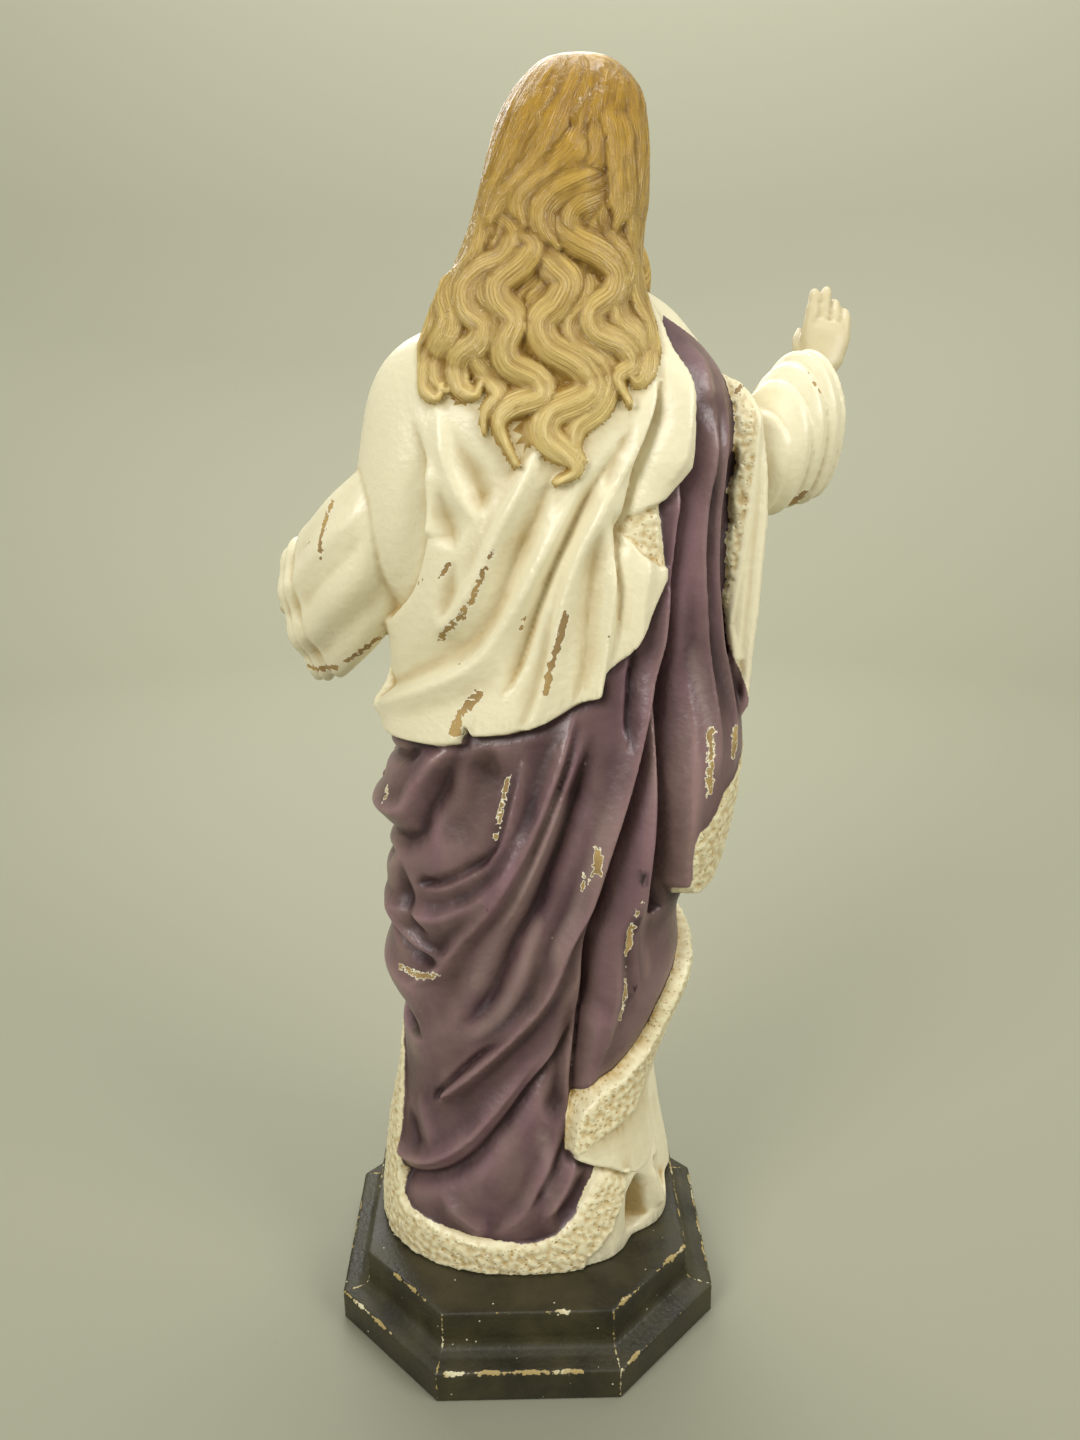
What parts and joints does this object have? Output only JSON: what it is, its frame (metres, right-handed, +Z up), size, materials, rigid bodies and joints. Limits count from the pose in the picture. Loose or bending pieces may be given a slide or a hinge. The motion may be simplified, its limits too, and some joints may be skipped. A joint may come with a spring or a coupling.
{
  "type": "jesus statue",
  "caption": "Painted plaster figure of a long-haired, bearded man in robe and mantle, one hand raised, on a two-tier octagonal plinth.",
  "frame": {"origin": "middle of the plinth's underside", "axes": "+Z up, the figure looks along -Y, its raised right hand is on the -X side"},
  "size_m": [0.31, 0.21, 0.649],
  "materials": {
    "painted_plaster": "satin",
    "plinth_paint": "worn satin"
  },
  "bodies": {
    "root": {"figure": "painted_plaster", "plinth": "plinth_paint"}
  },
  "joints": []
}
